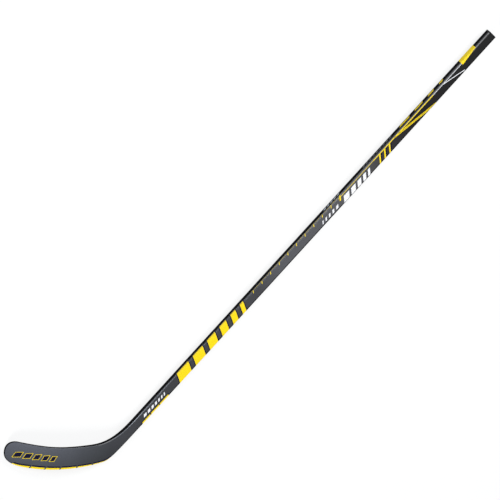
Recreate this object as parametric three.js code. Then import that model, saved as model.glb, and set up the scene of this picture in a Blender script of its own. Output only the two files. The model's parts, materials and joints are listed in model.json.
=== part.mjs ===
// A composite ice hockey stick, left-handed, lying on the floor with its backhand face up.
// Millimetres, +Z up. Three directions belong to the stick itself: u runs up the shaft from the
// heel corner, w across the wide face towards the toe side, n out of the backhand face.
// The blade is drawn in a second pair: reach along the ice towards the toe, height above the heel corner.

import * as THREE from 'three';

// Fits between pieces
const fitGap = 0.3;
const glueThickness = 0.5;

// Shaft
const stickLength = 1524;
const shaftWidth = 30;
const shaftThickness = 20;
const shaftCorner = 6;
const shaftWall = 1.8;
const taperTop = 620;
const jointHeight = 150;
const neckWidth = 28.6;
const neckThickness = 19;
const neckCorner = 5.5;

// Butt end cap
const flangeThickness = 4;
const flangeFillet = 1.4;
const plugLength = 38;
const plugWall = 2.2;
const plugRelief = 0.4;
const plugRidgeCount = 3;
const plugRidgeWidth = 2.4;
const plugChamfer = 1.2;

// Hosel, from the tenon in the shaft down to the heel
const tenonLength = 68;
const tenonWall = 2;
const neckWall = 2.4;
const neckLength = 24;
const tongueLengthShare = 0.26;
const seamShare = 0.5;
const hoselHollowShare = 0.28;

// Blade outline
const lie = THREE.MathUtils.degToRad(46);
const bladeReach = 296;
const throatReach = 60;
const throatHeight = 47.8;
const toeTopReach = 261;
const toeTopHeight = 68.6;
const toeTipHeight = 39.6;
const heelReach = 23.5;
const heelDrop = 5.3;
const toeTurnReach = 251;
const toeTurnDrop = 3.1;
const rockerSlopeAtHeel = -0.186;
const rockerSlopeAtToe = 0.247;
const topSlopeAtThroat = -0.03;
const topSlopeAtToe = 0.236;

// Blade thickness along its length
const neckFootThickness = 18.5;
const heelThickness = 10.5;
const toeThickness = 6.2;
const tipThickness = 5.2;
const edgeRoundShare = 0.44;

// Blade curve
const curveStart = 20;
const curveRadius = 900;
const openFace = THREE.MathUtils.degToRad(3);
const twistHeight = 20;

// Blade construction
const edgeWidth = 6;
const skinThickness = 1.4;
const ribWidth = 5;
const ribPlaceShare = 0.5;
const coreEndShare = 0.8;
const coreCorner = 0.8;

// Facets
const roundestShare = 0.49;
const leastCorner = 0.3;
const placesPerMillimetre = 1e4;
const cornerSteps = 6;
const flatSteps = 4;
const coreCornerSteps = 1;
const filletSteps = 4;
const neckSteps = 2;
const throatSteps = 12;
const middleSteps = 16;
const toeSteps = 14;
const edgeRoundSteps = 8;

// Directions in the blade's plane, as (reach, height) pairs
const upShaft = new THREE.Vector2(-Math.cos(lie), Math.sin(lie));
const acrossShaft = new THREE.Vector2(Math.sin(lie), Math.cos(lie));

// A point of the blade's plane given by its place on the shaft.
function shaftPoint(u, w) {
  return new THREE.Vector2().addScaledVector(upShaft, u).addScaledVector(acrossShaft, w);
}

// How far the blade's middle surface lies out of the shaft's middle plane at a point of its plane:
// the bow of the curve, and the face that opens towards the toe.
function camber(point) {
  const past = Math.max(0, point.x - curveStart);
  const bow = (past * past) / (2 * curveRadius);
  const opening = Math.tan(openFace) * (past / (bladeReach - curveStart));
  return opening * (point.y - twistHeight) - bow;
}

// A point of the blade's plane, lifted by through out of the middle surface, in the stick's directions.
function bladePoint(point, through) {
  return new THREE.Vector3(point.dot(upShaft), point.dot(acrossShaft), camber(point) + through);
}

// Rounded rectangle round the middle, anticlockwise, as (across, through) pairs.
// Both long sides are divided, so that they can follow a curved middle surface.
function roundedRectangle(width, thickness, corner, steps, divisions) {
  const radius = Math.min(corner, roundestShare * width, roundestShare * thickness);
  const inX = width / 2 - radius;
  const inY = thickness / 2 - radius;
  const corners = [[inX, inY], [-inX, inY], [-inX, -inY], [inX, -inY]];
  const points = [];
  corners.forEach(([x, y], quarter) => {
    for (let step = 0; step <= steps; step += 1) {
      const angle = (quarter + step / steps) * (Math.PI / 2);
      points.push(new THREE.Vector2(x + radius * Math.cos(angle), y + radius * Math.sin(angle)));
    }
    if (quarter % 2 === 0) {
      const side = Math.sign(y);
      for (let step = 1; step < divisions; step += 1) {
        const across = side * inX * (1 - (2 * step) / divisions);
        points.push(new THREE.Vector2(across, side * (thickness / 2)));
      }
    }
  });
  return points;
}

// Closed skin through rings of equally many points. The ends are capped, or joined to each other.
function loft(rings, joinEnds = false) {
  const count = rings[0].length;
  const places = new Map();
  const positions = [];
  const triangles = [];
  const vertex = (point) => {
    const key = point.toArray().map((value) => Math.round(value * placesPerMillimetre)).join();
    if (!places.has(key)) {
      places.set(key, positions.length / 3);
      positions.push(point.x, point.y, point.z);
    }
    return places.get(key);
  };
  const triangle = (a, b, c) => {
    if (a !== b && b !== c && c !== a) {
      triangles.push(a, b, c);
    }
  };
  const indices = rings.map((ring) => ring.map(vertex));
  const spans = joinEnds ? rings.length : rings.length - 1;
  for (let span = 0; span < spans; span += 1) {
    const near = indices[span];
    const far = indices[(span + 1) % rings.length];
    for (let i = 0; i < count; i += 1) {
      const next = (i + 1) % count;
      triangle(near[i], near[next], far[next]);
      triangle(near[i], far[next], far[i]);
    }
  }
  const cap = (ring, index, flip) => {
    const middle = new THREE.Vector3();
    ring.forEach((point) => middle.addScaledVector(point, 1 / count));
    const centre = vertex(middle);
    for (let i = 0; i < count; i += 1) {
      const next = (i + 1) % count;
      const [a, b] = flip ? [index[next], index[i]] : [index[i], index[next]];
      triangle(a, b, centre);
    }
  };
  if (!joinEnds) {
    cap(rings[0], indices[0], true);
    cap(rings[rings.length - 1], indices[rings.length - 1], false);
  }
  return facingOut(positions, triangles);
}

// Geometry of a closed skin, with its faces turned outwards.
function facingOut(positions, triangles) {
  const corner = (index) => new THREE.Vector3().fromArray(positions, 3 * triangles[index]);
  let volume = 0;
  for (let i = 0; i < triangles.length; i += 3) {
    volume += corner(i).dot(corner(i + 1).cross(corner(i + 2)));
  }
  const turned = volume < 0 ? triangles.toReversed() : triangles;
  const geometry = new THREE.BufferGeometry();
  geometry.setAttribute('position', new THREE.Float32BufferAttribute(positions, 3));
  geometry.setIndex(turned);
  geometry.computeVertexNormals();
  return geometry;
}

// Ring round the shaft at height u, lying inset inside its surface. The width tapers on the
// heel side only, so the toe side stays straight.
function shaftRing(u, inset = 0, divisions = 1) {
  const full = THREE.MathUtils.clamp((u - jointHeight) / (taperTop - jointHeight), 0, 1);
  const width = THREE.MathUtils.lerp(neckWidth, shaftWidth, full);
  const thickness = THREE.MathUtils.lerp(neckThickness, shaftThickness, full) - 2 * inset;
  const corner = Math.max(leastCorner, THREE.MathUtils.lerp(neckCorner, shaftCorner, full) - inset);
  const outline = roundedRectangle(width - 2 * inset, thickness, corner, cornerSteps, divisions);
  const middle = shaftWidth - width / 2;
  return outline.map((point) => new THREE.Vector3(u, middle + point.x, point.y));
}

// Ring round a strip of the blade between two points of its plane.
function bladeRing(bottom, top, thickness, corner, steps = cornerSteps, divisions = flatSteps) {
  const middle = bottom.clone().lerp(top, 0.5);
  const chord = top.clone().sub(bottom);
  const outline = roundedRectangle(chord.length(), thickness, corner, steps, divisions);
  chord.normalize();
  return outline.map((point) => bladePoint(middle.clone().addScaledVector(chord, point.x), point.y));
}

// Cubic curve that leaves one point in a direction and arrives at another in a direction.
function easedCurve(from, leaving, to, arriving) {
  return new THREE.CubicBezierCurve(from, from.clone().add(leaving), to.clone().sub(arriving), to);
}

function slopeAlong(length, slope) {
  return new THREE.Vector2(length, length * slope);
}

// The two edges of the blade, bottom and top, in four stretches that run side by side:
// down the neck, round heel and throat, along the middle, and round the toe to its tip.
const neckEdge = shaftWidth - neckWidth;
const neckFoot = jointHeight - neckLength;
const jointBottom = shaftPoint(jointHeight, neckEdge);
const jointTop = shaftPoint(jointHeight, shaftWidth);
const neckBottom = shaftPoint(neckFoot, neckEdge);
const neckTop = shaftPoint(neckFoot, shaftWidth);
const heelBottom = new THREE.Vector2(heelReach, -heelDrop);
const throatTop = new THREE.Vector2(throatReach, throatHeight);
const toeBottom = new THREE.Vector2(toeTurnReach, -toeTurnDrop);
const toeTop = new THREE.Vector2(toeTopReach, toeTopHeight);
const toeTip = new THREE.Vector2(bladeReach, toeTipHeight);

const heelLeavingShare = 0.88;
const heelArrivingShare = 0.11;
const throatLeavingShare = 0.4;
const throatArrivingShare = 0.4;
const rockerHandleShare = 0.32;
const topLeavingShare = 0.43;
const topArrivingShare = 0.45;
const toeTopLeavingShare = 0.6;
const toeTopArrivingShare = 0.8;
const toeBottomLeavingShare = 0.55;
const toeBottomArrivingShare = 0.55;

const heelSpan = neckBottom.distanceTo(heelBottom);
const throatSpan = neckTop.distanceTo(throatTop);
const rockerSpan = toeTurnReach - heelReach;
const topSpan = toeTopReach - throatReach;
const toeTopSpan = bladeReach - toeTopReach;
const toeTopRise = toeTopHeight - toeTipHeight;
const toeBottomSpan = bladeReach - toeTurnReach;
const toeBottomRise = toeTipHeight + toeTurnDrop;

const heelCurve = easedCurve(
  neckBottom, upShaft.clone().multiplyScalar(-heelLeavingShare * heelSpan),
  heelBottom, slopeAlong(heelArrivingShare * heelSpan, rockerSlopeAtHeel),
);
const throatCurve = easedCurve(
  neckTop, upShaft.clone().multiplyScalar(-throatLeavingShare * throatSpan),
  throatTop, slopeAlong(throatArrivingShare * throatSpan, topSlopeAtThroat),
);
const rockerCurve = easedCurve(
  heelBottom, slopeAlong(rockerHandleShare * rockerSpan, rockerSlopeAtHeel),
  toeBottom, slopeAlong(rockerHandleShare * rockerSpan, rockerSlopeAtToe),
);
const topCurve = easedCurve(
  throatTop, slopeAlong(topLeavingShare * topSpan, topSlopeAtThroat),
  toeTop, slopeAlong(topArrivingShare * topSpan, topSlopeAtToe),
);
const toeBottomCurve = easedCurve(
  toeBottom, slopeAlong(toeBottomLeavingShare * toeBottomSpan, rockerSlopeAtToe),
  toeTip, new THREE.Vector2(0, toeBottomArrivingShare * toeBottomRise),
);
const toeTopCurve = easedCurve(
  toeTop, slopeAlong(toeTopLeavingShare * toeTopSpan, topSlopeAtToe),
  toeTip, new THREE.Vector2(0, -toeTopArrivingShare * toeTopRise),
);

const neck = {
  bottom: new THREE.LineCurve(jointBottom, neckBottom),
  top: new THREE.LineCurve(jointTop, neckTop),
  thicknesses: [neckThickness, neckFootThickness],
  squareShares: [0, 0],
  steps: neckSteps,
};
const throat = {
  bottom: heelCurve,
  top: throatCurve,
  thicknesses: [neckFootThickness, heelThickness],
  squareShares: [0, 0],
  steps: throatSteps,
};
const middle = {
  bottom: rockerCurve,
  top: topCurve,
  thicknesses: [heelThickness, toeThickness],
  squareShares: [0, 1],
  steps: middleSteps,
};
const toe = {
  bottom: toeBottomCurve,
  top: toeTopCurve,
  thicknesses: [toeThickness, tipThickness],
  squareShares: [1, 1],
  steps: toeSteps,
};

// A place along the blade: the two edge points at share t of a stretch, the directions from them
// into the blade, and the thickness there. The directions run along the chord as far as the throat,
// and turn square to the edges towards the toe, where both edges meet.
function station(stretch, t) {
  const bottom = stretch.bottom.getPoint(t);
  const top = stretch.top.getPoint(t);
  const down = stretch.bottom.getTangent(t);
  const along = stretch.top.getTangent(t);
  const square = THREE.MathUtils.lerp(...stretch.squareShares, t);
  const upChord = top.clone().sub(bottom).normalize();
  const turned = (direction, x, y) => direction.lerp(new THREE.Vector2(x, y), square).normalize();
  return {
    bottom,
    top,
    bottomInward: turned(upChord.clone(), -down.y, down.x),
    topInward: turned(upChord.clone().negate(), along.y, -along.x),
    thickness: THREE.MathUtils.lerp(...stretch.thicknesses, t),
  };
}

// Stations of the stretches from one place to another, each place a [stretch, share] pair.
function stationsBetween([firstStretch, firstShare], [lastStretch, lastShare]) {
  const all = [neck, throat, middle, toe];
  const stretches = all.slice(all.indexOf(firstStretch), all.indexOf(lastStretch) + 1);
  const found = [];
  stretches.forEach((stretch) => {
    const start = stretch === firstStretch ? firstShare : 0;
    const end = stretch === lastStretch ? lastShare : 1;
    const steps = Math.max(1, Math.round(stretch.steps * (end - start)));
    for (let step = stretch === firstStretch ? 0 : 1; step <= steps; step += 1) {
      found.push(station(stretch, THREE.MathUtils.lerp(start, end, step / steps)));
    }
  });
  return found;
}

// The two edge points of a station, moved into the blade by inset.
function insetEdges(place, inset) {
  return [
    place.bottom.clone().addScaledVector(place.bottomInward, inset),
    place.top.clone().addScaledVector(place.topInward, inset),
  ];
}

// Ring of a solid that fills a station, inset from both edges and thinner than the blade.
function insetRing(place, inset, thinner, corner, steps, divisions) {
  const [bottom, top] = insetEdges(place, inset);
  return bladeRing(bottom, top, place.thickness - thinner, corner, steps, divisions);
}

function outerCorner(place) {
  return Math.min(neckCorner, edgeRoundShare * place.thickness);
}

// Shaft: a tube whose lower end narrows towards the blade.
function makeShaftTube() {
  const bottom = jointHeight + fitGap;
  const top = stickLength - flangeThickness - fitGap;
  const outside = [bottom, taperTop, top].map((u) => shaftRing(u));
  const inside = [top, taperTop, bottom].map((u) => shaftRing(u, shaftWall));
  return loft([...outside, ...inside], true);
}

// Cap: a flange flush with the shaft and a hollow plug with ridges that grip the bore.
function makeEndCap() {
  const rings = [];
  for (let step = 0; step <= filletSteps; step += 1) {
    const angle = (step / filletSteps) * (Math.PI / 2);
    const inset = flangeFillet * (1 - Math.sin(angle));
    rings.push(shaftRing(stickLength - flangeFillet * (1 - Math.cos(angle)), inset));
  }
  const shoulder = stickLength - flangeThickness;
  const plugEnd = shoulder - plugLength;
  const ridgeInset = shaftWall + fitGap;
  const plugInset = ridgeInset + plugRelief;
  rings.push(shaftRing(shoulder));
  rings.push(shaftRing(shoulder, plugInset));
  for (let ridge = 1; ridge <= plugRidgeCount; ridge += 1) {
    const u = shoulder - (plugLength * ridge) / (plugRidgeCount + 1);
    rings.push(shaftRing(u + plugRidgeWidth / 2, plugInset));
    rings.push(shaftRing(u, ridgeInset));
    rings.push(shaftRing(u - plugRidgeWidth / 2, plugInset));
  }
  rings.push(shaftRing(plugEnd + plugChamfer, plugInset));
  rings.push(shaftRing(plugEnd, plugInset + plugChamfer));
  rings.push(shaftRing(plugEnd, plugInset + plugWall));
  rings.push(shaftRing(shoulder, plugInset + plugWall));
  return loft(rings);
}

const adhesiveInset = shaftWall + fitGap;
const tenonInset = adhesiveInset + glueThickness + fitGap;
const tenonTop = jointHeight + tenonLength;

// Glue: a thin sleeve between the tenon and the bore of the shaft.
function makeJointAdhesive() {
  const bottom = jointHeight + fitGap;
  const outside = [bottom, tenonTop].map((u) => shaftRing(u, adhesiveInset));
  const inside = [tenonTop, bottom].map((u) => shaftRing(u, adhesiveInset + glueThickness));
  return loft([...outside, ...inside], true);
}

// Small steps along the edges that leave the fit gap between two pieces in a stretch.
function gapShare(stretch) {
  return fitGap / Math.min(stretch.bottom.getLength(), stretch.top.getLength());
}

const tongueEndShare = seamShare + tongueLengthShare;
const sandwichInset = edgeWidth + fitGap;
const sandwichThinner = 2 * (skinThickness + fitGap);

// Hosel: tenon, neck, heel shoulder and tongue in one, hollow from the tenon down.
function makeBladeHosel() {
  const tongue = stationsBetween([throat, seamShare], [throat, tongueEndShare]).reverse();
  const body = stationsBetween([neck, 0], [throat, seamShare]).reverse();
  const hollow = stationsBetween([neck, 0], [throat, hoselHollowShare]);
  const hollowCorner = neckCorner - neckWall;
  return loft([
    ...tongue.map((place) => insetRing(place, sandwichInset, sandwichThinner, coreCorner)),
    ...body.map((place) => insetRing(place, 0, 0, outerCorner(place))),
    shaftRing(jointHeight, tenonInset, flatSteps),
    shaftRing(tenonTop, tenonInset, flatSteps),
    shaftRing(tenonTop, tenonInset + tenonWall, flatSteps),
    shaftRing(jointHeight, tenonInset + tenonWall, flatSteps),
    ...hollow.map((place) => insetRing(place, neckWall, 2 * neckWall, hollowCorner)),
  ]);
}

// Foam in the hosel, from the mouth of the tenon to the bottom of the hollow.
function makeHoselCore() {
  const stemInset = tenonInset + tenonWall + fitGap;
  const wallInset = neckWall + fitGap;
  const start = gapShare(neck);
  const end = hoselHollowShare - gapShare(throat);
  const wide = stationsBetween([neck, start], [throat, end]);
  const wideCorner = neckCorner - wallInset;
  return loft([
    shaftRing(tenonTop, stemInset, flatSteps),
    shaftRing(jointHeight - fitGap, stemInset, flatSteps),
    ...wide.map((place) => insetRing(place, wallInset, 2 * wallInset, wideCorner)),
  ]);
}

// A blade skin on one side of the middle surface, 1 for the backhand and -1 for the forehand.
function makeSkin(side) {
  const start = seamShare + gapShare(throat);
  const rings = stationsBetween([throat, start], [toe, 1]).map((place) => {
    const [bottom, top] = insetEdges(place, sandwichInset);
    const outer = (side * place.thickness) / 2;
    const inner = outer - side * skinThickness;
    const ring = [];
    for (let step = 0; step <= flatSteps; step += 1) {
      ring.push(bladePoint(bottom.clone().lerp(top, step / flatSteps), outer));
    }
    for (let step = flatSteps; step >= 0; step -= 1) {
      ring.push(bladePoint(bottom.clone().lerp(top, step / flatSteps), inner));
    }
    return ring;
  });
  return loft(rings);
}

// Edge wrap: one strip from the throat along the top, round the toe and back along the bottom
// to the heel, rounded on its outside.
function makeBladeEdge() {
  const start = seamShare + gapShare(throat);
  const places = stationsBetween([throat, start], [toe, 1]);
  const section = (place, point, inward) => {
    const radius = outerCorner(place);
    const half = place.thickness / 2;
    const ring = [bladePoint(point.clone().addScaledVector(inward, edgeWidth), half)];
    for (let step = 0; step <= edgeRoundSteps; step += 1) {
      const angle = (step / edgeRoundSteps) * Math.PI;
      const depth = radius * (1 - Math.sin(angle));
      const through = Math.sign(Math.cos(angle)) * (half - radius) + radius * Math.cos(angle);
      ring.push(bladePoint(point.clone().addScaledVector(inward, depth), through));
    }
    ring.push(bladePoint(point.clone().addScaledVector(inward, edgeWidth), -half));
    return ring;
  };
  const overTop = places.map((place) => section(place, place.top, place.topInward));
  const alongBottom = places.map((place) => section(place, place.bottom, place.bottomInward));
  return loft([...overTop, ...alongBottom.reverse().slice(1)]);
}

// The pieces between the skins fill a band of each chord, given as offsets from the rib's middle line.
function makeInnerBand(pickEnds) {
  const start = tongueEndShare + gapShare(throat);
  const rings = stationsBetween([throat, start], [toe, coreEndShare]).map((place) => {
    const [bottom, top] = insetEdges(place, sandwichInset);
    const chord = top.clone().sub(bottom).normalize();
    const ribMiddle = bottom.clone().lerp(top, ribPlaceShare);
    const ends = pickEnds({ bottom, top, chord, ribMiddle });
    const thickness = place.thickness - sandwichThinner;
    return bladeRing(...ends, thickness, coreCorner, coreCornerSteps);
  });
  return loft(rings);
}

function makeUpperCore() {
  const offset = ribWidth / 2 + fitGap;
  return makeInnerBand(({ top, chord, ribMiddle }) => [
    ribMiddle.clone().addScaledVector(chord, offset),
    top,
  ]);
}

function makeLowerCore() {
  const offset = ribWidth / 2 + fitGap;
  return makeInnerBand(({ bottom, chord, ribMiddle }) => [
    bottom,
    ribMiddle.clone().addScaledVector(chord, -offset),
  ]);
}

function makeBladeRib() {
  return makeInnerBand(({ chord, ribMiddle }) => [
    ribMiddle.clone().addScaledVector(chord, -ribWidth / 2),
    ribMiddle.clone().addScaledVector(chord, ribWidth / 2),
  ]);
}

const finishes = {
  shaft_tube: { color: 0x434448, roughness: 0.35, metalness: 0.1 },
  end_cap: { color: 0x141414, roughness: 0.5, metalness: 0 },
  joint_adhesive: { color: 0xc8a860, roughness: 0.4, metalness: 0 },
  blade_hosel: { color: 0x3a3a3d, roughness: 0.4, metalness: 0.1 },
  hosel_core: { color: 0xe6dcc0, roughness: 0.9, metalness: 0 },
  backhand_skin: { color: 0x565860, roughness: 0.4, metalness: 0.1 },
  forehand_skin: { color: 0x4c4e54, roughness: 0.4, metalness: 0.1 },
  blade_edge: { color: 0x1a1a1a, roughness: 0.5, metalness: 0 },
  upper_core: { color: 0xe6dcc0, roughness: 0.9, metalness: 0 },
  lower_core: { color: 0xe6dcc0, roughness: 0.9, metalness: 0 },
  blade_rib: { color: 0x202022, roughness: 0.6, metalness: 0 },
};

const geometries = {
  shaft_tube: makeShaftTube(),
  end_cap: makeEndCap(),
  joint_adhesive: makeJointAdhesive(),
  blade_hosel: makeBladeHosel(),
  hosel_core: makeHoselCore(),
  backhand_skin: makeSkin(1),
  forehand_skin: makeSkin(-1),
  blade_edge: makeBladeEdge(),
  upper_core: makeUpperCore(),
  lower_core: makeLowerCore(),
  blade_rib: makeBladeRib(),
};

// The stick rolls about its heel-side corner until the toe touches the floor.
function restingRoll() {
  const edge = geometries.blade_edge.getAttribute('position');
  const centre = new THREE.Vector2(shaftCorner, shaftCorner - shaftThickness / 2);
  let roll = 0;
  for (let i = 0; i < edge.count; i += 1) {
    const reach = edge.getY(i) - centre.x;
    const drop = centre.y - edge.getZ(i);
    const distance = Math.hypot(reach, drop);
    if (reach > shaftWidth) {
      roll = Math.max(roll, Math.atan2(drop, reach) - Math.asin(shaftCorner / distance));
    }
  }
  return roll;
}

const stick = new THREE.Group();
Object.entries(geometries).forEach(([name, geometry]) => {
  const mesh = new THREE.Mesh(geometry, new THREE.MeshStandardMaterial(finishes[name]));
  mesh.name = name;
  stick.add(mesh);
});
stick.rotation.x = restingRoll();
stick.updateMatrixWorld(true);

// The origin is the middle of the stick's box, on the floor.
const box = new THREE.Box3().setFromObject(stick, true);
const centre = box.getCenter(new THREE.Vector3());
stick.position.set(-centre.x, -centre.y, -box.min.z);

const hockeyStick = new THREE.Group();
hockeyStick.add(stick);

export default hockeyStick;
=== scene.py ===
"""A composite ice hockey stick, photographed from its backhand side and a little from its toe side.

Sizes are millimetres in the stick's own directions: u runs up the shaft from the heel corner,
w across the wide face towards the toe side, and n out of the backhand face. The blade is drawn
in a second pair: reach along the ice towards the toe, and height above the heel corner.
"""

import json
import math
from collections import namedtuple

import bmesh
import bpy
from mathutils import Matrix, Vector


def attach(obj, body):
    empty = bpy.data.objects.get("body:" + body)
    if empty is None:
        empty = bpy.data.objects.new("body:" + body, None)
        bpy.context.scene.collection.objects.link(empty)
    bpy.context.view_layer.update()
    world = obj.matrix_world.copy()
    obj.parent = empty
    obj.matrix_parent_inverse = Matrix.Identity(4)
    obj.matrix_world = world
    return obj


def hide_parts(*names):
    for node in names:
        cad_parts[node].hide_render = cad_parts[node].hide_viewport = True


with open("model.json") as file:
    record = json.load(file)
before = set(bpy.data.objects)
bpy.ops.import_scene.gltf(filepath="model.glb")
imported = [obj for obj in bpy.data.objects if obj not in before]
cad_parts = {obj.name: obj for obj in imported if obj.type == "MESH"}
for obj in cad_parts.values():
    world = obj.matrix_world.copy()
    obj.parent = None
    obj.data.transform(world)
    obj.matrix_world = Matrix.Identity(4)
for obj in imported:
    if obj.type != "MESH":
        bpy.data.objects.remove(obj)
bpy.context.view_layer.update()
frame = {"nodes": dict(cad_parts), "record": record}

MM = 0.001

# Fits, shaft and butt end, as in the solids
FIT_GAP = 0.3
LEAST_CORNER = 0.3
STICK_LENGTH = 1524
SHAFT_WIDTH = 30
SHAFT_THICKNESS = 20
SHAFT_CORNER = 6
SHAFT_WALL = 1.8
TAPER_TOP = 620
JOINT_HEIGHT = 150
NECK_WIDTH = 28.6
NECK_THICKNESS = 19
NECK_CORNER = 5.5
FLANGE_THICKNESS = 4
FLANGE_FILLET = 1.4
PLUG_LENGTH = 38
PLUG_WALL = 2.2
PLUG_RELIEF = 0.4
PLUG_RIDGE_COUNT = 3
PLUG_RIDGE_WIDTH = 2.4
PLUG_CHAMFER = 1.2

# Hosel
GLUE_THICKNESS = 0.5
TENON_LENGTH = 68
TENON_WALL = 2
NECK_WALL = 2.4
NECK_LENGTH = 24
HOLLOW_SHARE = 0.28

# Blade outline
LIE = math.radians(46)
BLADE_REACH = 296
THROAT_REACH = 60
THROAT_HEIGHT = 47.8
TOE_TOP_REACH = 261
TOE_TOP_HEIGHT = 68.6
TOE_TIP_HEIGHT = 39.6
HEEL_REACH = 23.5
HEEL_DROP = 5.3
TOE_TURN_REACH = 251
TOE_TURN_DROP = 3.1
ROCKER_SLOPE_AT_HEEL = -0.186
ROCKER_SLOPE_AT_TOE = 0.247
TOP_SLOPE_AT_THROAT = -0.03
TOP_SLOPE_AT_TOE = 0.236

# Handles of the edge curves, as shares of the distances that they span
HEEL_LEAVING_SHARE = 0.88
HEEL_ARRIVING_SHARE = 0.11
THROAT_HANDLE_SHARE = 0.4
ROCKER_HANDLE_SHARE = 0.32
TOP_LEAVING_SHARE = 0.43
TOP_ARRIVING_SHARE = 0.45
TOE_TOP_LEAVING_SHARE = 0.6
TOE_TOP_ARRIVING_SHARE = 0.8
TOE_BOTTOM_LEAVING_SHARE = 0.55
TOE_BOTTOM_ARRIVING_SHARE = 0.55

# Blade thickness and curve
NECK_FOOT_THICKNESS = 18.5
HEEL_THICKNESS = 10.5
TOE_THICKNESS = 6.2
TIP_THICKNESS = 5.2
EDGE_ROUND_SHARE = 0.44
CURVE_START = 20
CURVE_RADIUS = 900
OPEN_FACE = math.radians(3)
TWIST_HEIGHT = 20

# Fineness of the surfaces
ARC_STEPS = 12
FACE_STEPS = 8
FILLET_STEPS = 8
NECK_STEPS = 6
THROAT_STEPS = 28
MIDDLE_STEPS = 48
TOE_STEPS = 60

# Where the black of the edges ends on their rounding, as an angle from the face
BLADE_PAINT_ANGLE = math.radians(28)
THROAT_PAINT_ANGLE = math.radians(37)
NECK_FOOT_PAINT_ANGLE = math.radians(66)
NECK_PAINT_ANGLE = math.radians(76)
SHAFT_PAINT_ANGLE = math.radians(78)
# On the heel side the black comes round almost to the face: real black edge paint, carried this far
# as painted shade where that corner turns from the light
HEEL_SIDE_PAINT_AND_SHADE_ANGLE = math.radians(4)
HEEL_PAINT_ANGLE = math.radians(1)
# Round the toe the black reaches far onto the rounding: real black edge paint, and painted shade on
# the rim that faces away from the light
TOE_PAINT_AND_SHADE_ANGLE = math.radians(12)

# The stick's own directions and its heel corner, in the model's frame
mounts = {mount["name"]: mount for mount in frame["record"]["mounts"]}
U_AXIS = Vector(mounts["butt_end"]["axis"])
W_AXIS = Vector(mounts["toe_side_face"]["axis"])
N_AXIS = Vector(mounts["backhand_face"]["axis"])
BUTT_MIDDLE = Vector(mounts["butt_end"]["pos_m"])
HEEL_CORNER = BUTT_MIDDLE - (STICK_LENGTH * U_AXIS + SHAFT_WIDTH / 2 * W_AXIS) * MM
ROLL = math.atan2(W_AXIS.z, W_AXIS.y)


def in_frame(point):
    """Turns a point in the stick's own millimetres into one of the model's frame, in metres."""
    return HEEL_CORNER + (U_AXIS * point.x + W_AXIS * point.y + N_AXIS * point.z) * MM


def lerp(a, b, share):
    return a + (b - a) * share


def clamp(value, low=0.0, high=1.0):
    return max(low, min(high, value))


# Outline of the blade, as in the solids

UP_SHAFT = Vector((-math.cos(LIE), math.sin(LIE)))
ACROSS_SHAFT = Vector((math.sin(LIE), math.cos(LIE)))


def shaft_point(u, w):
    return UP_SHAFT * u + ACROSS_SHAFT * w


def camber(point):
    """How far the blade's middle surface lies out of the shaft's middle plane."""
    past = max(0.0, point.x - CURVE_START)
    opening = math.tan(OPEN_FACE) * past / (BLADE_REACH - CURVE_START)
    return opening * (point.y - TWIST_HEIGHT) - past * past / (2 * CURVE_RADIUS)


def blade_point(point, through):
    return Vector((point.dot(UP_SHAFT), point.dot(ACROSS_SHAFT), camber(point) + through))


class Curve:
    """Cubic curve that leaves one point by a handle and arrives at another by a handle."""

    def __init__(self, start, leaving, end, arriving):
        self.points = [start, start + leaving, end - arriving, end]

    def at(self, t):
        a, b, c, d = self.points
        s = 1 - t
        return a * s**3 + b * (3 * s * s * t) + c * (3 * s * t * t) + d * t**3

    def direction(self, t):
        a, b, c, d = self.points
        s = 1 - t
        return ((b - a) * (s * s) + (c - b) * (2 * s * t) + (d - c) * (t * t)).normalized()


def straight(start, end):
    """A straight stretch, as a curve whose handles are a third of it."""
    handle = (end - start) / 3
    return Curve(start, handle, end, handle)


def sloping(length, slope):
    """A handle that runs that far along the ice and rises by the slope."""
    return Vector((length, length * slope))


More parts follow.
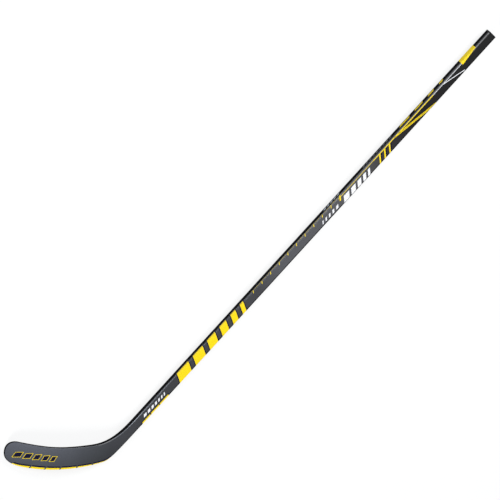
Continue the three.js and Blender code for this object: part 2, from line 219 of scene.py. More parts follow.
def edge_curves():
    """The blade's bottom and top edges, in four stretches that run side by side."""
    neck_edge = SHAFT_WIDTH - NECK_WIDTH
    neck_foot = JOINT_HEIGHT - NECK_LENGTH
    joint_bottom = shaft_point(JOINT_HEIGHT, neck_edge)
    joint_top = shaft_point(JOINT_HEIGHT, SHAFT_WIDTH)
    neck_bottom = shaft_point(neck_foot, neck_edge)
    neck_top = shaft_point(neck_foot, SHAFT_WIDTH)
    heel = Vector((HEEL_REACH, -HEEL_DROP))
    throat = Vector((THROAT_REACH, THROAT_HEIGHT))
    toe_bottom = Vector((TOE_TURN_REACH, -TOE_TURN_DROP))
    toe_top = Vector((TOE_TOP_REACH, TOE_TOP_HEIGHT))
    tip = Vector((BLADE_REACH, TOE_TIP_HEIGHT))
    heel_span = (heel - neck_bottom).length
    throat_span = (throat - neck_top).length
    rocker_handle = ROCKER_HANDLE_SHARE * (TOE_TURN_REACH - HEEL_REACH)
    top_span = TOE_TOP_REACH - THROAT_REACH
    toe_top_span = BLADE_REACH - TOE_TOP_REACH
    toe_bottom_span = BLADE_REACH - TOE_TURN_REACH
    toe_top_rise = TOE_TOP_HEIGHT - TOE_TIP_HEIGHT
    toe_bottom_rise = TOE_TIP_HEIGHT + TOE_TURN_DROP
    bottoms = [
        straight(joint_bottom, neck_bottom),
        Curve(
            neck_bottom, UP_SHAFT * (-HEEL_LEAVING_SHARE * heel_span),
            heel, sloping(HEEL_ARRIVING_SHARE * heel_span, ROCKER_SLOPE_AT_HEEL),
        ),
        Curve(
            heel, sloping(rocker_handle, ROCKER_SLOPE_AT_HEEL),
            toe_bottom, sloping(rocker_handle, ROCKER_SLOPE_AT_TOE),
        ),
        Curve(
            toe_bottom, sloping(TOE_BOTTOM_LEAVING_SHARE * toe_bottom_span, ROCKER_SLOPE_AT_TOE),
            tip, Vector((0, TOE_BOTTOM_ARRIVING_SHARE * toe_bottom_rise)),
        ),
    ]
    tops = [
        straight(joint_top, neck_top),
        Curve(
            neck_top, UP_SHAFT * (-THROAT_HANDLE_SHARE * throat_span),
            throat, sloping(THROAT_HANDLE_SHARE * throat_span, TOP_SLOPE_AT_THROAT),
        ),
        Curve(
            throat, sloping(TOP_LEAVING_SHARE * top_span, TOP_SLOPE_AT_THROAT),
            toe_top, sloping(TOP_ARRIVING_SHARE * top_span, TOP_SLOPE_AT_TOE),
        ),
        Curve(
            toe_top, sloping(TOE_TOP_LEAVING_SHARE * toe_top_span, TOP_SLOPE_AT_TOE),
            tip, Vector((0, -TOE_TOP_ARRIVING_SHARE * toe_top_rise)),
        ),
    ]
    return bottoms, tops


BOTTOMS, TOPS = edge_curves()

# For each stretch, at its start and its end: the thickness, how far the cut's ends turn square
# to the edges, and where the black of the top edge and of the bottom edge ends
THICKNESSES = [
    (NECK_THICKNESS, NECK_FOOT_THICKNESS),
    (NECK_FOOT_THICKNESS, HEEL_THICKNESS),
    (HEEL_THICKNESS, TOE_THICKNESS),
    (TOE_THICKNESS, TIP_THICKNESS),
]
SQUARE_SHARES = [(0, 0), (0, 0), (0, 1), (1, 1)]
PAINT_ANGLES = [
    (NECK_PAINT_ANGLE, NECK_FOOT_PAINT_ANGLE),
    (NECK_FOOT_PAINT_ANGLE, THROAT_PAINT_ANGLE),
    (THROAT_PAINT_ANGLE, BLADE_PAINT_ANGLE),
    (BLADE_PAINT_ANGLE, TOE_PAINT_AND_SHADE_ANGLE),
]
LOWER_PAINT_ANGLES = [
    (HEEL_SIDE_PAINT_AND_SHADE_ANGLE, HEEL_PAINT_ANGLE),
    (HEEL_PAINT_ANGLE, HEEL_PAINT_ANGLE),
    (HEEL_PAINT_ANGLE, BLADE_PAINT_ANGLE),
    (BLADE_PAINT_ANGLE, TOE_PAINT_AND_SHADE_ANGLE),
]

# A cut across the stick: its two edge points in the blade's plane, the directions into it from
# them, its thickness, the radius of its rounding and where the black of its edges ends.
Place = namedtuple("Place", "bottom top bottom_in top_in thickness radius paint lower_paint")


def blade_place(along, inset=0.0):
    """The cut at a place along the blade: 0 at the joint, 1 at the neck's foot, 2 at heel and
    throat, 3 where the toe begins and 4 at its tip. An inset moves it inside the surface."""
    stretch = min(int(along), len(BOTTOMS) - 1)
    t = along - stretch
    bottom = BOTTOMS[stretch].at(t)
    top = TOPS[stretch].at(t)
    down = BOTTOMS[stretch].direction(t)
    over = TOPS[stretch].direction(t)
    square = lerp(*SQUARE_SHARES[stretch], t)
    chord = (top - bottom).normalized() if (top - bottom).length > 0 else Vector((-1, 0))
    bottom_in = chord.lerp(Vector((-down.y, down.x)), square).normalized()
    top_in = (-chord).lerp(Vector((over.y, -over.x)), square).normalized()
    thickness = lerp(*THICKNESSES[stretch], t)
    radius = min(NECK_CORNER, EDGE_ROUND_SHARE * thickness)
    return Place(
        bottom + bottom_in * inset,
        top + top_in * inset,
        bottom_in,
        top_in,
        thickness - 2 * inset,
        radius - inset,
        lerp(*PAINT_ANGLES[stretch], t),
        lerp(*LOWER_PAINT_ANGLES[stretch], t),
    )


def section(u):
    """Width, thickness, corner radius and paint angle of the shaft at height u."""
    full = clamp((u - JOINT_HEIGHT) / (TAPER_TOP - JOINT_HEIGHT))
    return (
        lerp(NECK_WIDTH, SHAFT_WIDTH, full),
        lerp(NECK_THICKNESS, SHAFT_THICKNESS, full),
        lerp(NECK_CORNER, SHAFT_CORNER, full),
        lerp(NECK_PAINT_ANGLE, SHAFT_PAINT_ANGLE, full),
    )


def shaft_place(u, inset=0.0):
    """The cut across the shaft at height u, or across what lies inset inside its surface."""
    width, thickness, corner, paint = section(u)
    return Place(
        shaft_point(u, SHAFT_WIDTH - width + inset),
        shaft_point(u, SHAFT_WIDTH - inset),
        ACROSS_SHAFT,
        -ACROSS_SHAFT,
        thickness - 2 * inset,
        max(LEAST_CORNER, corner - inset),
        paint,
        HEEL_SIDE_PAINT_AND_SHADE_ANGLE,
    )


# Surfaces

FACE, EDGE = 0, 1


def rounding(paint):
    """Angles from the face to the edge over a quarter turn, with one at the end of the black."""
    half = ARC_STEPS // 2
    first = [paint * step / half for step in range(half)]
    rest = [lerp(paint, math.pi / 2, step / half) for step in range(half + 1)]
    return first + rest


def edge_points(edge, inward, place, paint, first_side):
    """Points over one rounded edge, from the face on first_side to the other face."""
    flat = place.thickness / 2 - place.radius
    quarter = rounding(paint)
    points = []
    for side, angles in ((first_side, quarter), (-first_side, quarter[::-1])):
        for angle in angles:
            depth = place.radius * (1 - math.sin(angle))
            through = side * (flat + place.radius * math.cos(angle))
            points.append(blade_point(edge + inward * depth, through))
    return points


def face_points(start, end, through):
    """The points inside a face's row, between its two roundings."""
    shares = [step / FACE_STEPS for step in range(1, FACE_STEPS)]
    return [blade_point(start.lerp(end, share), through) for share in shares]


def ring(place):
    """Points round a cut: over the top edge, down the forehand face, under the bottom edge and
    up the backhand face."""
    inner_top = place.top + place.top_in * place.radius
    inner_bottom = place.bottom + place.bottom_in * place.radius
    half = place.thickness / 2
    return (
        edge_points(place.top, place.top_in, place, place.paint, 1)
        + face_points(inner_top, inner_bottom, -half)
        + edge_points(place.bottom, place.bottom_in, place, place.lower_paint, -1)
        + face_points(inner_bottom, inner_top, half)
    )


def ring_finishes():
    """Which paint covers each step round a ring."""
    half = ARC_STEPS // 2
    rounded = [FACE] * half + [EDGE] * (2 * half + 1) + [FACE] * half
    return rounded + [FACE] * FACE_STEPS + rounded + [FACE] * FACE_STEPS


def loft(bm, rings, join_ends=False):
    """Faces through rings of equally many points, closed at both ends or joined end to end."""
    count = len(rings[0])
    finishes = ring_finishes()
    rows = [[bm.verts.new(in_frame(point)) for point in points] for points in rings]
    spans = list(zip(rows, rows[1:]))
    if join_ends:
        spans.append((rows[-1], rows[0]))
    for near, far in spans:
        for i in range(count):
            after = (i + 1) % count
            face = bm.faces.new((near[i], near[after], far[after], far[i]))
            face.material_index = finishes[i]
    if not join_ends:
        bm.faces.new(rows[0])
        bm.faces.new(rows[-1])


WELD_DISTANCE = 1e-7
SHARP_ANGLE = math.radians(35)


def make_piece(name, bm, materials):
    """The finished piece of a mesh, riding on the stick."""
    bmesh.ops.remove_doubles(bm, verts=bm.verts, dist=WELD_DISTANCE)
    bmesh.ops.recalc_face_normals(bm, faces=bm.faces)
    mesh = bpy.data.meshes.new(name)
    bm.to_mesh(mesh)
    bm.free()
    mesh.shade_smooth()
    mesh.set_sharp_from_angle(angle=SHARP_ANGLE)
    piece = bpy.data.objects.new(name, mesh)
    bpy.context.scene.collection.objects.link(piece)
    for material in materials:
        mesh.materials.append(material)
    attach(piece, "root")
    return piece


def make_blade(face_paint, edge_paint):
    """Blade and hosel in one surface, from the toe's tip to the neck, then the tenon and its
    hollow."""
    tenon_inset = SHAFT_WALL + GLUE_THICKNESS + 2 * FIT_GAP
    tenon_top = JOINT_HEIGHT + TENON_LENGTH
    steps = [NECK_STEPS, THROAT_STEPS, MIDDLE_STEPS, TOE_STEPS]
    places = []
    for stretch, count in enumerate(steps):
        places += [stretch + step / count for step in range(count)]
    places.append(len(steps))
    hollow = [step / NECK_STEPS for step in range(NECK_STEPS)] + [1, 1 + HOLLOW_SHARE]
    outside = [ring(blade_place(along)) for along in reversed(places)]
    tenon = [
        ring(shaft_place(JOINT_HEIGHT, tenon_inset)),
        ring(shaft_place(tenon_top, tenon_inset)),
        ring(shaft_place(tenon_top, tenon_inset + TENON_WALL)),
        ring(shaft_place(JOINT_HEIGHT, tenon_inset + TENON_WALL)),
    ]
    inside = [ring(blade_place(along, NECK_WALL)) for along in hollow]
    bm = bmesh.new()
    loft(bm, outside + tenon + inside)
    blade = make_piece("blade", bm, [face_paint, edge_paint])
    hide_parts("blade_hosel", "backhand_skin", "forehand_skin", "blade_edge")


# The tube starts this far above the joint, where it touches nothing of the blade
JOINT_CLEARANCE = 0.03


def make_shaft(face_paint, edge_paint):
    """The shaft's tube, from just above the joint to just below the cap."""
    bottom = JOINT_HEIGHT + JOINT_CLEARANCE
    top = STICK_LENGTH - FLANGE_THICKNESS - FIT_GAP
    heights = [bottom, TAPER_TOP, top]
    bm = bmesh.new()
    outside = [ring(shaft_place(u)) for u in heights]
    inside = [ring(shaft_place(u, SHAFT_WALL)) for u in reversed(heights)]
    loft(bm, outside + inside, join_ends=True)
    shaft = make_piece("shaft", bm, [face_paint, edge_paint])
    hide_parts("shaft_tube")


def make_cap(plastic):
    """The butt end's cap: a rounded flange and a hollow ridged plug."""
    rings = []
    for step in range(FILLET_STEPS + 1):
        angle = step / FILLET_STEPS * math.pi / 2
        inset = FLANGE_FILLET * (1 - math.sin(angle))
        u = STICK_LENGTH - FLANGE_FILLET * (1 - math.cos(angle))
        rings.append(ring(shaft_place(u, inset)))
    shoulder = STICK_LENGTH - FLANGE_THICKNESS
    plug_end = shoulder - PLUG_LENGTH
    ridge_inset = SHAFT_WALL + FIT_GAP
    plug_inset = ridge_inset + PLUG_RELIEF
    rings.append(ring(shaft_place(shoulder)))
    rings.append(ring(shaft_place(shoulder, plug_inset)))
    for ridge in range(1, PLUG_RIDGE_COUNT + 1):
        u = shoulder - PLUG_LENGTH * ridge / (PLUG_RIDGE_COUNT + 1)
        rings.append(ring(shaft_place(u + PLUG_RIDGE_WIDTH / 2, plug_inset)))
        rings.append(ring(shaft_place(u, ridge_inset)))
        rings.append(ring(shaft_place(u - PLUG_RIDGE_WIDTH / 2, plug_inset)))
    rings.append(ring(shaft_place(plug_end + PLUG_CHAMFER, plug_inset)))
    rings.append(ring(shaft_place(plug_end, plug_inset + PLUG_CHAMFER)))
    rings.append(ring(shaft_place(plug_end, plug_inset + PLUG_WALL)))
    rings.append(ring(shaft_place(shoulder, plug_inset + PLUG_WALL)))
    bm = bmesh.new()
    loft(bm, rings)
    cap = make_piece("butt_cap", bm, [plastic, plastic])
    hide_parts("end_cap")


# Printed marks: thin films that follow the surface they are on

FILM_LIFT = 0.08
OUTLINE_LIFT = 0.04
FILM_DEPTH = 0.25
QUARTER = SHAFT_CORNER * math.pi / 2
FLAT_HALF = SHAFT_WIDTH / 2 - SHAFT_CORNER
SIDE_FLAT = SHAFT_THICKNESS - 2 * SHAFT_CORNER
HALF_ROUND = 2 * FLAT_HALF + 2 * QUARTER + SIDE_FLAT
TOE_CORNER = FLAT_HALF + QUARTER

# Steps that find a place along the blade, and the sharpest corner that moves out in full
HALVINGS = 40
LEAST_SINE = 0.3


def on_shaft(u, around, lift):
    """A point of the shaft's skin. Around is measured on the full-size section, from the middle
    of the backhand face, and grows towards the toe side and on to the forehand face."""
    width, thickness, corner, _ = section(u)
    turned = (around + HALF_ROUND) % (2 * HALF_ROUND) - HALF_ROUND
    side = -1 if turned < 0 else 1
    distance = abs(turned)
    front = 1 if distance <= TOE_CORNER + SIDE_FLAT / 2 else -1
    distance = min(distance, HALF_ROUND - distance)
    inner_x = width / 2 - corner
    inner_y = thickness / 2 - corner
    if distance <= FLAT_HALF:
        x = inner_x * distance / FLAT_HALF
        y = inner_y + corner + lift
    elif distance <= TOE_CORNER:
        angle = (distance - FLAT_HALF) / SHAFT_CORNER
        x = inner_x + (corner + lift) * math.sin(angle)
        y = inner_y + (corner + lift) * math.cos(angle)
    else:
        x = inner_x + corner + lift
        y = inner_y * (1 - 2 * (distance - TOE_CORNER) / SIDE_FLAT)
    return Vector((u, SHAFT_WIDTH - width / 2 + side * x, front * y))


def place_where(test):
    """The place along the blade, from joint to tip, at which test turns from False to True."""
    low, high = 0.0, float(len(BOTTOMS))
    for _ in range(HALVINGS):
        middle = (low + high) / 2
        if test(middle):
            high = middle
        else:
            low = middle
    return high


def blade_face(side):
    """Puts a point given by reach and height on a face of the blade, 1 backhand and -1 forehand."""

    def on_face(reach, height, lift):
        point = Vector((reach, height))

        def past(along):
            place = blade_place(along)
            chord = place.top - place.bottom
            offset = point - place.bottom
            return chord.x * offset.y - chord.y * offset.x > 0

        half = blade_place(place_where(past)).thickness / 2
        return blade_point(point, side * (half + lift))

    return on_face


def blade_bottom(side):
    """Puts a point, given by reach and distance up from the bottom edge's middle, on the blade."""

    def on_bottom(reach, distance, lift):
        place = blade_place(place_where(lambda along: blade_place(along).bottom.x > reach))
        half = place.thickness / 2
        quarter = place.radius * math.pi / 2
        if distance < quarter:
            angle = math.pi / 2 - distance / place.radius
            depth = place.radius - (place.radius + lift) * math.sin(angle)
            through = half - place.radius + (place.radius + lift) * math.cos(angle)
        else:
            depth = place.radius + distance - quarter
            through = half + lift
        return blade_point(place.bottom + place.bottom_in * depth, side * through)

    return on_bottom


def spaced(low, high, spacing):
    """Round multiples of spacing between low and high."""
    return [spacing * i for i in range(math.ceil(low / spacing), math.floor(high / spacing) + 1)]


def film(name, ink, outlines, surface, lift, spacing):
    """A printed film: convex outlines in the surface's own pair, cut finely enough to follow it."""
    bm = bmesh.new()
    for outline in outlines:
        bm.faces.new([bm.verts.new((x, y, 0)) for x, y in outline])
    for axis, step in enumerate(spacing):
        values = [vertex.co[axis] for vertex in bm.verts]
        normal = [0, 0, 0]
        normal[axis] = 1
        for value in spaced(min(values), max(values), step):
            middle = [0, 0, 0]
            middle[axis] = value
            everything = bm.verts[:] + bm.edges[:] + bm.faces[:]
            bmesh.ops.bisect_plane(bm, geom=everything, plane_co=middle, plane_no=normal)
    lower = {}
    tops = bm.faces[:]
    borders = [edge for edge in bm.edges if len(edge.link_faces) == 1]
    placed = [(vertex, vertex.co.x, vertex.co.y) for vertex in bm.verts]
    for vertex, x, y in placed:
        vertex.co = in_frame(surface(x, y, lift))
        lower[vertex] = bm.verts.new(in_frame(surface(x, y, -FILM_DEPTH)))
    for face in tops:
        bm.faces.new([lower[vertex] for vertex in reversed(face.verts)])
    for edge in borders:
        a, b = edge.verts
        bm.faces.new((a, b, lower[b], lower[a]))
    return make_piece(name, bm, [ink])


def slanted(start, end, low, high, lean):
    """A slanted bar from start to end along its low side, which leans forward as it rises."""
    shift = lean * (high - low)
    return [(start, low), (end, low), (end + shift, high), (start + shift, high)]


def stroke(start, end, width):
    """A straight line of that width between two points."""
    a, b = Vector(start), Vector(end)
    across = (b - a).orthogonal().normalized() * (width / 2)
    return [tuple(a - across), tuple(b - across), tuple(b + across), tuple(a + across)]


def widened(outline, by):
    """A convex outline with every side moved out by that much."""
    corners = [Vector(corner) for corner in outline]
    middle = sum(corners, Vector((0, 0))) / len(corners)
    grown = []
    for i, corner in enumerate(corners):
        before = (corner - corners[i - 1]).normalized()
        after = (corners[(i + 1) % len(corners)] - corner).normalized()
        out = (before - after).normalized()
        reach = by / max(LEAST_SINE, abs(before.x * out.y - before.y * out.x))
        grown.append(tuple(corner + out * (reach if out.dot(corner - middle) > 0 else -reach)))
    return grown


FOREHAND_SHIFT = 3.6


def on_both_faces(outlines):
    """Outlines on the shaft, and the same ones on its forehand side, a little further round."""
    turned = HALF_ROUND + FOREHAND_SHIFT
    across = [[(u, turned - around) for u, around in outline] for outline in outlines]
    return outlines + across


# How finely films are cut, along and across
CORNER_STEP = math.radians(7.5)
SHAFT_SPACING = (200, SHAFT_CORNER * CORNER_STEP)
BLADE_SPACING = (4, 4)
BAND_SPACING = (4, 0.4)

# Yellow dashes on the heel-side corner above the neck
DASH_STARTS = (129, 163, 198)
DASH_ENDS = (160, 195, 231)
DASH_LOW, DASH_HIGH = -16.5, -7.9
DASH_LEAN = 0.25
DASH_OUTLINE = 2.2

# Large slanted bars, each narrower than the one before
BAR_START = 276
BAR_WIDTHS = (45, 38, 31, 25, 19, 13)
BAR_GAP = 18
BAR_LOW, BAR_HIGH = -15, 16.8
BAR_LEAN = 0.4
BAR_OUTLINE = 2.8

# Ruler line with slanted ticks along the toe-side corner
RULER_START, RULER_END = 582, 921
RULER_AROUND = 15.2
RULER_WIDTH = 0.3
TICK_START = 583
TICK_SPACING = 34.1
TICK_COUNT = 10
TICK_WIDTH = 2.4
TICK_LOW = 9
TICK_LEAN = 0.8


def row_of_bars(start, widths, gap, low, high, lean):
    """Slanted bars side by side, each with its own width."""
    outlines = []
    for width in widths:
        outlines.append(slanted(start, start + width, low, high, lean))
        start += width + gap
    return outlines


def large_bars():
    return row_of_bars(BAR_START, BAR_WIDTHS, BAR_GAP, BAR_LOW, BAR_HIGH, BAR_LEAN)


def edge_dashes():
    pairs = zip(DASH_STARTS, DASH_ENDS)
    return [slanted(start, end, DASH_LOW, DASH_HIGH, DASH_LEAN) for start, end in pairs]


def ruler():
    line = stroke((RULER_START, RULER_AROUND), (RULER_END, RULER_AROUND), RULER_WIDTH)
    ticks = []
    for i in range(TICK_COUNT):
        start = TICK_START + i * TICK_SPACING
        ticks.append(slanted(start, start + TICK_WIDTH, TICK_LOW, RULER_AROUND, TICK_LEAN))
    return [line] + ticks


# Pale slashes, each narrower than the one before
SLASH_LEAN = 0.7
SLASH_START = 926
SLASH_WIDTHS = (21, 17, 14, 11, 8)
SLASH_GAP = 8
SLASH_LOW, SLASH_HIGH = -11, 5.4
LOW_SLASH_START = 144
LOW_SLASH_WIDTHS = (10, 9, 8, 7, 6, 5, 4)
LOW_SLASH_GAP = 5.5
LOW_SLASH_LOW, LOW_SLASH_HIGH = -1.4, 6
HIGH_SLASH_START = 844
HIGH_SLASH_WIDTHS = (4, 5, 6, 7, 8)
HIGH_SLASH_GAP = 8
HIGH_SLASH_LOW, HIGH_SLASH_HIGH = -7, 1.6


def pale_slashes():
    return (
        row_of_bars(SLASH_START, SLASH_WIDTHS, SLASH_GAP, SLASH_LOW, SLASH_HIGH, SLASH_LEAN)
        + row_of_bars(
            LOW_SLASH_START, LOW_SLASH_WIDTHS, LOW_SLASH_GAP,
            LOW_SLASH_LOW, LOW_SLASH_HIGH, SLASH_LEAN,
        )
        + row_of_bars(
            HIGH_SLASH_START, HIGH_SLASH_WIDTHS, HIGH_SLASH_GAP,
            HIGH_SLASH_LOW, HIGH_SLASH_HIGH, SLASH_LEAN,
        )
    )


# Lines on the upper third
CORNER_AROUND = 11.2
FINE_LINE = 1
BOLD_LINE = 2
CORNER_BREAK = 1060
CORNER_END = 1297
ACCENT_START = 920
ACCENT_LOW = 3
TRIO_STARTS = (1066, 1085, 1104)
TRIO_WIDTH = 5
FACE_LOW = -12
DIAGONAL_STARTS = (1142, 1160)
DIAGONAL_RUN = 128
TRIO_SHADOW = 5
BUTT_BAND_START, BUTT_BAND_END = 1410, 1467
BUTT_BAND_LOW, BUTT_BAND_RISE, BUTT_BAND_HIGH = 7, 6.5, 30
PALE_START, PALE_END = 1336, 1404


def yellow_lines():
    corner = [
        stroke((RULER_END, CORNER_AROUND), (CORNER_BREAK, CORNER_AROUND), FINE_LINE),
        stroke((CORNER_BREAK, CORNER_AROUND), (CORNER_END, CORNER_AROUND), BOLD_LINE),
    ]
    accent_end = ACCENT_START + TRIO_WIDTH
    accent = [slanted(ACCENT_START, accent_end, ACCENT_LOW, RULER_AROUND, SLASH_LEAN)]
    trio = [
        slanted(start, start + TRIO_WIDTH, FACE_LOW, CORNER_AROUND, SLASH_LEAN)
        for start in TRIO_STARTS
    ]
    diagonals = [
        stroke((start, CORNER_AROUND), (start + DIAGONAL_RUN, FACE_LOW), BOLD_LINE)
        for start in DIAGONAL_STARTS
    ]
    return corner + accent + trio + diagonals


def dark_lines():
    """A shadow beside each bar of the trio, and the dark between the two diagonals."""
    trio = [
        slanted(start, start + TRIO_WIDTH + TRIO_SHADOW, FACE_LOW, CORNER_AROUND, SLASH_LEAN)
        for start in TRIO_STARTS
    ]
    first, last = DIAGONAL_STARTS
    steepness = DIAGONAL_RUN / (FACE_LOW - CORNER_AROUND)
    return trio + [slanted(first, last, CORNER_AROUND, FACE_LOW, steepness)]


def butt_band():
    """A band whose lower side rises towards the butt."""
    low_side = [(BUTT_BAND_START, BUTT_BAND_LOW), (BUTT_BAND_END, BUTT_BAND_LOW + BUTT_BAND_RISE)]
    high_side = [(BUTT_BAND_END, BUTT_BAND_HIGH), (BUTT_BAND_START, BUTT_BAND_HIGH)]
    return [low_side + high_side]


def pale_lines():
    corner = stroke((CORNER_END, CORNER_AROUND), (BUTT_BAND_START, CORNER_AROUND), FINE_LINE)
    diagonal = stroke((PALE_START, CORNER_AROUND), (PALE_END, -FLAT_HALF), BOLD_LINE)
    return [corner, diagonal]


# Small bars on the narrow toe-side face
SIDE_LOW, SIDE_HIGH = 20.6, 25.6
SIDE_LEAN = 1
PALE_SIDE_START = 872
PALE_SIDE_COUNT = 5
GREY_SIDE_START = 1026
GREY_SIDE_COUNT = 9
SIDE_STEP = 13
SIDE_WIDTH = 8
YELLOW_SIDE_START = 1172
YELLOW_SIDE_WIDTHS = (38, 30, 22, 14)
YELLOW_SIDE_GAP = 22


def even_side_bars(first, count):
    starts = [first + i * SIDE_STEP for i in range(count)]
    return [slanted(start, start + SIDE_WIDTH, SIDE_LOW, SIDE_HIGH, SIDE_LEAN) for start in starts]


def yellow_side_bars():
    return row_of_bars(
        YELLOW_SIDE_START, YELLOW_SIDE_WIDTHS, YELLOW_SIDE_GAP, SIDE_LOW, SIDE_HIGH, SIDE_LEAN
    )


# Segmented band along the blade's bottom, from the toe to the heel
BAND_STARTS = (275, 226, 185, 143, 95.5, 51)
BAND_ENDS = (230, 189, 147, 99.5, 55, 2)
BAND_WIDTHS = ((4.5, 7.7), (7.7, 7.9), (7.9, 7.9), (7.9, 7.8), (7.7, 7), (6.8, 6.2))
BAND_LEAN = 0.5
BAND_SHADOW = 4.4

# Slanted bars by the toe
TOE_BAR_STARTS = (274, 246, 220, 196, 174)
TOE_BAR_WIDTHS = (20, 18, 16, 14, 12)
TOE_BAR_HEIGHT = 13
TOE_BAR_LEAN = -0.55
TOE_BAR_FOOT = 8
TOE_BAR_RISE = 0.155
TOE_BAR_HEEL = 160
TOE_BAR_OUTLINE = 1.2


def bottom_band(extra=0.0):
    """The band's segments, wider by the extra."""
    outlines = []
    for start, end, (first, last) in zip(BAND_STARTS, BAND_ENDS, BAND_WIDTHS):
        first += extra
        last += extra
        low_side = [(start, 0), (end, 0)]
        high_side = [(end - BAND_LEAN * last, last), (start - BAND_LEAN * first, first)]
        outlines.append(low_side + high_side)
    return outlines


def toe_bars():
    outlines = []
    for start, width in zip(TOE_BAR_STARTS, TOE_BAR_WIDTHS):
        foot = TOE_BAR_FOOT + TOE_BAR_RISE * (start - TOE_BAR_HEEL)
        head = foot + TOE_BAR_HEIGHT
        outlines.append(slanted(start - width, start, foot, head, TOE_BAR_LEAN))
    return outlines


# Materials

# Sockets of a Mix node that mixes colours
MIX_FACTOR, MIX_FIRST, MIX_SECOND, MIX_RESULT = 0, 6, 7, 2


def srgb(red, green, blue):
    """A colour given by its 8-bit values, as the shader's own, by the standard curve."""

    def linear(value):
        value /= 255
        return value / 12.92 if value <= 0.04045 else ((value + 0.055) / 1.055) ** 2.4

    return (linear(red), linear(green), linear(blue), 1.0)


def shade(level):
    """A grey that darkens what it multiplies to that level."""
    return (level, level, level, 1.0)


class Shader:
    """A Principled material and short ways to add nodes to it."""

    def __init__(self, name):
        self.material = bpy.data.materials.new(name)
        self.material.use_nodes = True
        self.nodes = self.material.node_tree.nodes
        self.principled = self.nodes["Principled BSDF"]

    def link(self, source, target):
        self.material.node_tree.links.new(source, target)

    def set(self, **values):
        for name, value in values.items():
            self.principled.inputs[name.replace("_", " ")].default_value = value

    def stick_coordinates(self, stretch=(1, 1, 1)):
        """Millimetres in the stick's own directions, each divided by its stretch."""
        coordinates = self.nodes.new("ShaderNodeTexCoord")
        mapping = self.nodes.new("ShaderNodeMapping")
        mapping.vector_type = "TEXTURE"
        mapping.inputs["Location"].default_value = HEEL_CORNER
        mapping.inputs["Rotation"].default_value = (ROLL, 0, 0)
        mapping.inputs["Scale"].default_value = [MM * size for size in stretch]
        self.link(coordinates.outputs["Object"], mapping.inputs["Vector"])
        return mapping.outputs["Vector"]

    def measured(self, direction):
        """Millimetres from the heel corner in a direction of the stick's own."""
        node = self.nodes.new("ShaderNodeVectorMath")
        node.operation = "DOT_PRODUCT"
        node.inputs[1].default_value = direction
        self.link(self.stick_coordinates(), node.inputs[0])
        return node.outputs["Value"]

    def noise(self, scale, detail=2.0, stretch=(1, 1, 1)):
        node = self.nodes.new("ShaderNodeTexNoise")
        node.inputs["Scale"].default_value = scale
        node.inputs["Detail"].default_value = detail
        self.link(self.stick_coordinates(stretch), node.inputs["Vector"])
        return node.outputs["Fac"]

    def ranged(self, source, low, high, from_low=0.0, from_high=1.0):
        node = self.nodes.new("ShaderNodeMapRange")
        node.inputs["From Min"].default_value = from_low
        node.inputs["From Max"].default_value = from_high
        node.inputs["To Min"].default_value = low
        node.inputs["To Max"].default_value = high
        self.link(source, node.inputs["Value"])
        return node.outputs["Result"]

    def ramp(self, source, stops):
        """Colours at places between 0 and 1."""
        node = self.nodes.new("ShaderNodeValToRGB")
        elements = node.color_ramp.elements
        while len(elements) < len(stops):
            elements.new(1.0)
        for element, (place, colour) in zip(elements, stops):
            element.position = place
            element.color = colour
        self.link(source, node.inputs["Fac"])
        return node.outputs["Color"]

    def mixed(self, kind, share, first, second):
        """Two colours mixed. The share is a socket or a plain number."""
        node = self.nodes.new("ShaderNodeMix")
        node.data_type = "RGBA"
        node.blend_type = kind
        factor, a, b = (node.inputs[place] for place in (MIX_FACTOR, MIX_FIRST, MIX_SECOND))
        if isinstance(share, float):
            factor.default_value = share
        else:
            self.link(share, factor)
        for socket, value in ((a, first), (b, second)):
            if isinstance(value, tuple):
                socket.default_value = value
            else:
                self.link(value, socket)
        return node.outputs[MIX_RESULT]

    def tones(self, source, spread, colours):
        """From the first colour to the second over that spread of the source."""
        return self.ramp(source, [(place, srgb(*colour)) for place, colour in zip(spread, colours)])

    def bump(self, source, height):
        """Bump of that height in metres."""
        node = self.nodes.new("ShaderNodeBump")
        node.inputs["Distance"].default_value = height
        self.link(source, node.inputs["Height"])
        self.link(node.outputs["Normal"], self.principled.inputs["Normal"])

    def show_as_white(self, seen, share):
        """The rays that see it find that share of plain white in place of the lit surface."""
        glow = self.nodes.new("ShaderNodeEmission")
        product = self.nodes.new("ShaderNodeMath")
        product.operation = "MULTIPLY"
        self.link(seen, product.inputs[0])
        self.link(share, product.inputs[1])
        blend = self.nodes.new("ShaderNodeMixShader")
        self.link(product.outputs["Value"], blend.inputs["Fac"])
        self.link(self.principled.outputs["BSDF"], blend.inputs[1])
        self.link(glow.outputs["Emission"], blend.inputs[2])
        self.link(blend.outputs["Shader"], self.nodes["Material Output"].inputs["Surface"])

    def colour(self, source):
        self.link(source, self.principled.inputs["Base Color"])

    def roughness(self, source):
        self.link(source, self.principled.inputs["Roughness"])


def rays(tree, *kinds):
    """1 for a ray of one of those kinds and 0 for any other."""
    path = tree.nodes.new("ShaderNodeLightPath")
    found = path.outputs[kinds[0]]
    for kind in kinds[1:]:
        either = tree.nodes.new("ShaderNodeMath")
        either.operation = "MAXIMUM"
        tree.links.new(found, either.inputs[0])
        tree.links.new(path.outputs[kind], either.inputs[1])
        found = either.outputs["Value"]
    return found


# The lacquer's colours, on the shaft by height along it and on the blade by reach
SHAFT_COLOURS = (
    (150, (57, 58, 62)),
    (600, (66, 67, 71)),
    (680, (86, 87, 91)),
    (1000, (84, 84, 87)),
    (1110, (46, 44, 45)),
    (1200, (22, 20, 22)),
    (1400, (24, 24, 25)),
    (1524, (26, 26, 27)),
)
BLADE_COLOURS = (
    (-84, (57, 58, 62)),
    (0, (61, 63, 68)),
    (30, (68, 71, 76)),
    (80, (78, 81, 88)),
    (120, (89, 92, 100)),
    (200, (97, 100, 109)),
    (296, (92, 95, 104)),
)

# Painted shade on the blade: the height above the ice over which it fades out, and the share of the
# lacquer's colour left at the bottom
PAINTED_SHADE_HEIGHTS = (0, 65)
PAINTED_SHADE_SHARE = 0.57

